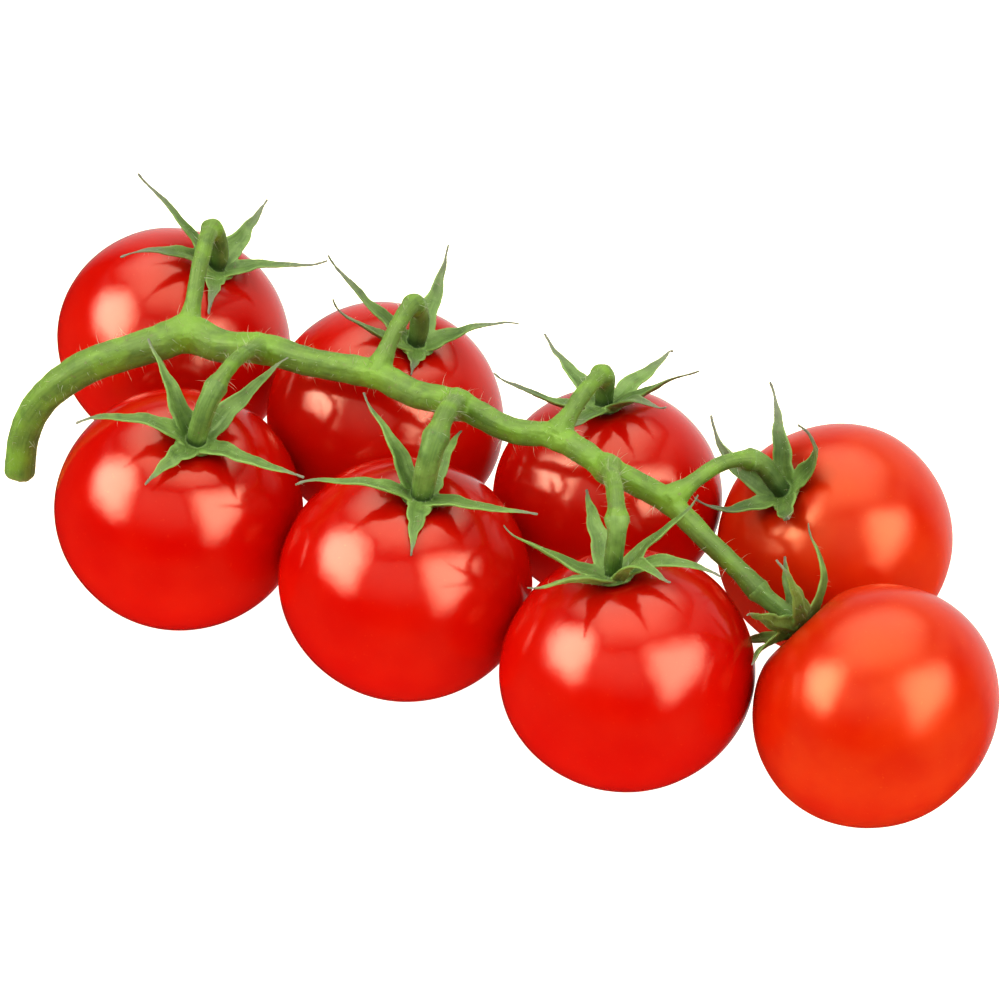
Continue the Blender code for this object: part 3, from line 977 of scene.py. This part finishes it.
def neck_line(tomato):
    """The neck from the knuckle into the seat."""
    direction = knuckle_direction(tomato)
    start = drawn(*tomato.knuckle) - direction * KNUCKLE_OVERLAP * MM
    bend_start = start + direction * KNUCKLE_STRAIGHT * MM
    down = fruit_turn(tomato) @ Vector((0, 0, -1))
    bend = hermite(bend_start, seat_centre(tomato), direction, down, NECK_STEPS)
    points = [start, (start + bend_start) / 2, *bend]
    lengths = distances(points)
    line = Line()
    for point, distance in zip(points, lengths):
        knuckle = bell(distance, KNUCKLE_LENGTH)
        neck = tomato.neck + NECK_FULLNESS
        crease = bell(distance, CREASE_LENGTH)
        foot = bell(lengths[-1] - distance, NECK_FOOT_LENGTH)
        swell = (tomato.stalk + KNUCKLE_SWELL - neck) * knuckle - CREASE_DEPTH * crease
        line.add(
            point,
            thickness=(neck + swell - NECK_FOOT_WAIST * foot) * MM,
            along=distance * MM,
            # the crease by the knuckle and the foot of the neck, where it meets the seat, are painted darker:
            # painted shade
            young=KNUCKLE_YOUTH * knuckle - CREASE_SHADE * crease - NECK_FOOT_SHADE * foot,
        )
    return line


def seat_line(tomato):
    """A short upright line whose thickness rises and falls as a round pad's does."""
    line = Line()
    centre, turned = seat_centre(tomato), fruit_turn(tomato)
    for step in range(SEAT_STEPS + 1):
        share = -cos(pi * step / SEAT_STEPS)
        height = share * (SEAT_ABOVE if share > 0 else SEAT_BELOW)
        radius = max(SEAT_RADIUS * (1 - share * share) ** 0.5, LEAST_RADIUS)
        line.add(centre + turned @ Vector((0, 0, height * MM)), thickness=radius * MM, along=height * MM)
    return line


print("necks (mm):", [round(neck_line(tomato).notes["along"][-1] / MM, 1) for tomato in TOMATOES])

# %% [markdown]
# ## Routes for the sepals
#
# A sepal is a narrow green blade with a shallow channel, widest near its root and drawn out to a fine
# tip. Its middle line starts in the seat and bends steadily up or down and sideways, so it is drawn by
# taking small steps in a direction that turns a little each time. A slight twist makes each one differ.

# %% Sepals
SEPAL_STEPS = 44
SEPAL_ROOT = 1.5
SEPAL_WIDTH = 3.2
SEPAL_TIP_WIDTH = 0.26
SEPAL_WIDEST = 0.15
SEPAL_ROOT_WIDTH = 0.92
SEPAL_TAPER_FRONT = 1.1
SEPAL_TAPER_BACK = 1.35
SEPAL_TWIST, TWIST_PACE = 30.0, 3.2
SEPAL_WAVE, WAVE_PACE = 0.07, 13
WAVELET_SHARE, WAVELET_PACE = 0.8, 31
SEPAL_SWAY, SWAY_PACE = 0.2, 19
SEPAL_RIPPLE, RIPPLE_PACE = 6.0, 8
TIP_CURL, CURL_START = 35.0, 0.8
PHASE_STEP = 0.37
FRESH_SHARE_FRONT = 0.72
FRESH_SHARE_BACK = 0.3
CAD_STEP = 1 / 6


def sepal_width(share, tapering):
    """Width (mm) of a sepal at a share of its length."""
    growth = sin(pi / 2 * min(share / SEPAL_WIDEST, 1))
    swell = SEPAL_ROOT_WIDTH + (1 - SEPAL_ROOT_WIDTH) * growth
    taper = (1 - max((share - SEPAL_WIDEST) / (1 - SEPAL_WIDEST), 0)) ** tapering
    return max(SEPAL_WIDTH * swell * taper, SEPAL_TIP_WIDTH)


def sepal_line(tomato, sepal):
    """The middle line of one sepal, from the seat to its tip."""
    turn, length, root_rise, tip_rise, sweep = sepal
    centre, turned = seat_centre(tomato), fruit_turn(tomato)
    heading = radians(turn)
    point = Vector((cos(heading), sin(heading), 0)) * SEPAL_ROOT * MM
    phase = turn * PHASE_STEP + length
    in_back_row = tomato.place[1] > 0
    fresh = FRESH_SHARE_BACK if in_back_row else FRESH_SHARE_FRONT
    tapering = SEPAL_TAPER_BACK if in_back_row else SEPAL_TAPER_FRONT
    line = Line()
    for step in range(SEPAL_STEPS + 1):
        share = step / SEPAL_STEPS
        bent = share - CAD_STEP / 2
        heading = radians(turn + sweep * bent)
        ripple = SEPAL_RIPPLE * sin(phase * 2 + RIPPLE_PACE * share) * min(3 * share, 1)
        curl = TIP_CURL * sin(phase * 3) * max(share - CURL_START, 0) / (1 - CURL_START)
        rise = radians(root_rise + (tip_rise - root_rise) * bent + ripple + curl)
        forward = Vector((cos(heading) * cos(rise), sin(heading) * cos(rise), sin(rise)))
        side = Vector((-sin(heading), cos(heading), 0))
        face = forward.cross(side)
        twist = radians(SEPAL_TWIST) * sin(phase + TWIST_PACE * share) * share
        face = face * cos(twist) + side * sin(twist)
        wavelet = WAVELET_SHARE * sin(phase * 2 + WAVELET_PACE * share)
        uneven = sin(phase + WAVE_PACE * share) + wavelet
        width = sepal_width(share, tapering) * (1 + SEPAL_WAVE * uneven * (1 - share))
        sway = SEPAL_SWAY * sin(phase * 4 + SWAY_PACE * share) * min(4 * share, 1) * (1 - share)
        line.add(
            centre + turned @ (point + side * sway * MM),
            face=turned @ face,
            thickness=width / 2 * MM,
            along=share * length * MM,
            dry=max(share - fresh, 0) / (1 - fresh),
            blade=1.0,
        )
        point = point + forward * length / SEPAL_STEPS * MM
    return line


sepals = [[sepal_line(tomato, sepal) for sepal in tomato.sepals] for tomato in TOMATOES]
print("sepals on each calyx:", [len(lines) for lines in sepals])

# %% [markdown]
# ## Growing tubes and blades along the lines
#
# Curve to Mesh carries a cross-section along a curve and scales it at each point, which is just what a
# ribbed stalk or a tapering sepal needs. One tree does both: lines marked as blades get the sepal's section,
# the rest get a round one with faint ribs. The section's own points are stored too, so that the material
# knows which side of the stalk it is on.

# %% Tree that grows a skin round the lines
GROWTH_SIZES = [
    ("Ribs", "Float", 5.0),
    ("Rib Depth", "Float", 0.03),
    ("Round Points", "Int", 24),
    ("Blade Points", "Int", 32),
    ("Blade Thickness", "Float", 0.10),
    ("Channel", "Float", 0.30),
    ("Midrib", "Float", 0.16),
    ("Midrib Width", "Float", 0.16),
    ("Fullness", "Float", 0.11 * MM),
    ("Green", "Material", None),
]


def note_field(tree, name, kind="FLOAT"):
    """A note that the geometry carries, inside a Geometry Nodes tree."""
    return put(tree, "GeometryNodeInputNamedAttribute", {"Name": name}, data_type=kind)


def unit_circle(tree, points):
    """A circle that keeps its own points as notes, to know the side of the stalk later."""
    circle = put(tree, "GeometryNodeCurvePrimitiveCircle", {"Resolution": points, "Radius": 1.0})
    spot = put(tree, "GeometryNodeInputPosition", {})
    x, y, _ = parts(tree, spot)
    sided = store_note(tree, circle, "side", spot, "FLOAT_VECTOR")
    return store_note(tree, sided, "across", x), spot, x, y


def round_section(tree, given):
    """A circle with faint ribs."""
    circle, spot, x, y = unit_circle(tree, given["Round Points"])
    wave = reckon(tree, "COSINE", reckon(tree, "ARCTAN2", y, x) * given["Ribs"])
    return moved_to(tree, circle, steer(tree, "SCALE", spot, Scale=wave * given["Rib Depth"] + 1))


def blade_section(tree, given):
    """A thin lens bent into a shallow channel, with a midrib under it; the blade faces its x axis."""
    circle, _, x, y = unit_circle(tree, given["Blade Points"])
    channel = (reckon(tree, "ABSOLUTE", x) - 0.5) * given["Channel"]
    midrib = dip(tree, x, given["Midrib Width"], given["Midrib"]) * reckon(tree, "LESS_THAN", y, 0)
    high = y * given["Blade Thickness"] + channel - midrib
    return moved_to(tree, circle, combined(tree, high, x * -1))


def grow_along(tree, lines, section):
    """Carry the section along the lines at the thickness that they note."""
    thickness = note_field(tree, "thickness")
    inputs = {"Curve": lines, "Profile Curve": section, "Scale": thickness, "Fill Caps": True}
    return put(tree, "GeometryNodeCurveToMesh", inputs)


growth_tree, given, group_output = new_tree("stalks and sepals", GROWTH_SIZES)
tree = growth_tree
is_blade = reckon(tree, "GREATER_THAN", note_field(tree, "blade"), 0.5)
sorting = {"Geometry": given["Geometry"], "Selection": is_blade}
blade_curves, stalk_curves = [
    put(tree, "GeometryNodeMeshToCurve", {"Mesh": put(tree, "GeometryNodeSeparateGeometry", sorting, side)})
    for side in ("Selection", "Inverted")
]
facing = {"Curve": blade_curves, "Normal": note_field(tree, "face", "FLOAT_VECTOR")}
faced = put(tree, "GeometryNodeSetCurveNormal", facing, mode="FREE")
blades = grow_along(tree, faced, blade_section(tree, given))
skin_normal = put(tree, "GeometryNodeInputNormal", {})
blades = moved_by(tree, blades, steer(tree, "SCALE", skin_normal, Scale=given["Fullness"]))
tubes = grow_along(tree, stalk_curves, round_section(tree, given))
together = put(tree, "GeometryNodeJoinGeometry", {0: tubes})
fill(tree, together.socket.node, {0: blades})
end_tree(tree, together, given["Green"], group_output)
print("nodes in the growth tree:", len(tree.nodes))

# %% [markdown]
# ## Melting the pieces into one skin
#
# On the plant, stalk and stem are one, with no seam where they meet. The tubes and blades only run into each
# other, so a voxel remesh turns them into a single closed skin, and a little blurring rounds the corners. A
# remesh forgets the notes, so a second tree reads them back from the nearest place on the first mesh and
# adds small lumps at random. A Boolean would join them as well but leave sharp creases.

# %% Tree that settles the remeshed skin
SETTLE_SIZES = [
    ("First Skin", "Object", None),
    ("Smallest Island", "Int", 1000),
    ("Rounding", "Int", 3),
    ("Lump Height", "Float", 0.13 * MM),
    ("Lump Size", "Float", 2.2 * MM),
    ("Grain Height", "Float", 0.03 * MM),
    ("Grain Size", "Float", 0.6 * MM),
    ("Knobbliness", "Float", 2.0),
    ("Green", "Material", None),
]

settle_tree, given, group_output = new_tree("settled skin", SETTLE_SIZES)
tree = settle_tree
first_skin = put(tree, "GeometryNodeObjectInfo", {"Object": given["First Skin"]}, "Geometry")
flow = given["Geometry"]
for note, kind in (*((name, "FLOAT") for name in (*NOTES[1:], "across")), ("side", "FLOAT_VECTOR")):
    nearest = {"Mesh": first_skin, "Value": note_field(tree, note, kind)}
    value = put(tree, "GeometryNodeSampleNearestSurface", nearest, "Value", data_type=kind)
    flow = store_note(tree, flow, note, value, kind)
island = put(tree, "GeometryNodeInputMeshIsland", {}, "Island Index")
in_island = put(tree, "GeometryNodeAccumulateField", {"Group ID": island}, "Total")
crumb = reckon(tree, "LESS_THAN", in_island, given["Smallest Island"])
flow = put(tree, "GeometryNodeDeleteGeometry", {"Geometry": flow, "Selection": crumb})
spot = put(tree, "GeometryNodeInputPosition", {})
blurring = {"Value": spot, "Iterations": given["Rounding"]}
flow = moved_to(tree, flow, put(tree, "GeometryNodeBlurAttribute", blurring, data_type="FLOAT_VECTOR"))
knobbly = reckon(tree, "MAXIMUM", note_field(tree, "young"), 0) * given["Knobbliness"] + 1
for size, tall in (("Lump Size", "Lump Height"), ("Grain Size", "Grain Height")):
    bumps = noise(tree, spot, reckon(tree, "DIVIDE", 1, given[size]), 1.0)
    rise = (bumps - 0.5) * (given[tall] * 2 * knobbly)
    skin_normal = put(tree, "GeometryNodeInputNormal", {})
    flow = moved_by(tree, flow, steer(tree, "SCALE", skin_normal, Scale=rise))
end_tree(tree, flow, given["Green"], group_output)
print("nodes in the settling tree:", len(tree.nodes))

# %% From lines to one settled skin
def grown(name, lines, slot, voxel, **settling):
    """Grow tubes and blades round the lines, melt them together and settle the skin."""
    first = run_tree(growth_tree, mesh_of_lines(name, lines), name + "_first", {"Green": greens[slot]})
    melted = bpy.data.objects.new(name + "_melted", first.data.copy())
    bpy.context.scene.collection.objects.link(melted)
    remesh = melted.modifiers.new("melt together", "REMESH")
    remesh.mode = "VOXEL"
    remesh.voxel_size = voxel * MM
    melted = plain_copy(melted, name + "_melted")
    values = {"First Skin": first, "Green": greens[slot], **settling}
    made = run_tree(settle_tree, melted.data, name, values)
    bpy.data.objects.remove(melted, do_unlink=True)
    bpy.data.objects.remove(first, do_unlink=True)
    return made


# %% The stem with its stalks
STEM_VOXEL = 0.2

stem = grown("green_stem", [main_stem, *stalks], "stem", STEM_VOXEL)
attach(stem, "root")
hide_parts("stem")
print("stem:", triangles(stem.data), "triangles")

# %% The eight calyxes
CALYX_VOXEL = 0.13
CALYX_PAINTED_SHADE = (0.3, 0.0, 0.35, 0.0, 0.35, 0.0, 0.6, 0.3)
SHADE_RAMP_LENGTH = 4 * MM
CALYX_SETTLING = {"Rounding": 2, "Lump Height": 0.09 * MM, "Lump Size": 1.6 * MM}

calyxes = []
for number, tomato in enumerate(TOMATOES, start=1):
    lines = [neck_line(tomato), seat_line(tomato), *sepals[number - 1]]
    # painted shade: some calyxes are painted darker, more so farther along each neck and sepal
    for line in lines:
        shading = [CALYX_PAINTED_SHADE[number - 1] * min(abs(along) / SHADE_RAMP_LENGTH, 1) for along in line.notes["along"]]
        line.notes["young"] = [young - shade for young, shade in zip(line.notes["young"], shading)]
    calyx = grown(f"green_calyx_{number}", lines, "calyx", CALYX_VOXEL, **CALYX_SETTLING)
    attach(calyx, "root")
    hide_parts(f"calyx_{number}")
    calyxes.append(calyx)
print("calyxes:", [triangles(calyx.data) for calyx in calyxes], "triangles")

# %% [markdown]
# ## Fine hairs
#
# Every green part of a tomato plant is covered in pale hairs, most of them very short and a few up to two
# millimetres long. They repeat by the thousand, so Geometry Nodes scatter one tiny cone over the skin with
# a fixed seed. Blender's own hair system would look the same in a picture but would not be part of the mesh.

# %% Hair material
HAIR_GREEN = (0.4, 0.46, 0.28, 1)
HAIR_PALE = (0.68, 0.7, 0.55, 1)
HAIR_PATCH = 1.5 * MM

pale_hair, tree, shader = new_material("pale hair")
paler = spread_over(tree, mottle(tree, HAIR_PATCH, 1), 0.35, 0.65, 0, 1)
fill(tree, shader, {"Base Color": blend_of(tree, paler, HAIR_GREEN, HAIR_PALE), "Roughness": 0.45})
print("hair material is ready")

# %% Tree that scatters hairs
HAIR_SIZES = [
    ("Hairs per Area", "Float", 2.0e6),
    ("Shortest", "Float", 0.3 * MM),
    ("Longest", "Float", 2.0 * MM),
    ("Rarity of Long Ones", "Float", 9.0),
    ("Slimness", "Float", 0.02),
    ("Bend", "Float", 0.3),
    ("Lean", "Float", 0.55),
    ("Seed", "Int", 4),
    ("Hair", "Material", None),
]

hair_tree, given, group_output = new_tree("fine hairs", HAIR_SIZES)
tree = hair_tree
scatter = {"Mesh": given["Geometry"], "Density": given["Hairs per Area"], "Seed": given["Seed"]}
roots = put(tree, "GeometryNodeDistributePointsOnFaces", scatter)
upright = Field(tree, roots.socket.node.outputs["Normal"])
cone_sizes = {"Vertices": 3, "Side Segments": 4, "Radius Top": 0.0, "Radius Bottom": given["Slimness"]}
cone = put(tree, "GeometryNodeMeshCone", {**cone_sizes, "Depth": 1.0})
along_hair = parts(tree, put(tree, "GeometryNodeInputPosition", {}))[2]
bent_cone = moved_by(tree, cone, combined(tree, along_hair * along_hair * given["Bend"]))
chance = put(tree, "FunctionNodeRandomValue", {"Seed": given["Seed"]}, 1, data_type="FLOAT")
rare = reckon(tree, "POWER", chance, given["Rarity of Long Ones"])
reach = given["Shortest"] + rare * (given["Longest"] - given["Shortest"])
any_way = {0: (-1, -1, -1), 1: (1, 1, 1), "Seed": given["Seed"] + 1}
stray = put(tree, "FunctionNodeRandomValue", any_way, data_type="FLOAT_VECTOR")
leaning = steer(tree, "SCALE", stray, Scale=given["Lean"])
aim = steer(tree, "NORMALIZE", steer(tree, "ADD", upright, leaning))
standing = put(tree, "FunctionNodeAlignRotationToVector", {"Vector": aim}, axis="Z")
planted = {"Points": roots, "Instance": bent_cone, "Rotation": standing, "Scale": reach}
end_tree(tree, put(tree, "GeometryNodeInstanceOnPoints", planted), given["Hair"], group_output)
print("nodes in the hair tree:", len(tree.nodes))

# %% Hairs on the stem and on the calyxes
stem_hairs = run_tree(hair_tree, stem.data, "stem_hairs", {"Hair": pale_hair})
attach(stem_hairs, "root")
print("hairs on the stem:", triangles(stem_hairs.data), "triangles")

for number, calyx in enumerate(calyxes, start=1):
    short = {"Hair": pale_hair, "Shortest": 0.2 * MM, "Longest": 0.9 * MM, "Seed": 10 + number}
    hairs = run_tree(hair_tree, calyx.data, f"calyx_hairs_{number}", short)
    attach(hairs, "root")
    print("hairs on calyx", number, ":", triangles(hairs.data), "triangles")

# %% [markdown]
# ## The size of the dressed truss
#
# The dressed truss has to stay the size of the CAD model, so both boxes are printed side by side.

# %% Sizes and finish
dressed_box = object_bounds()
for name, box in (("CAD", cad_box), ("dressed", dressed_box)):
    print(name, "box (mm):", [[round(value * 1000, 2) for value in corner] for corner in box])
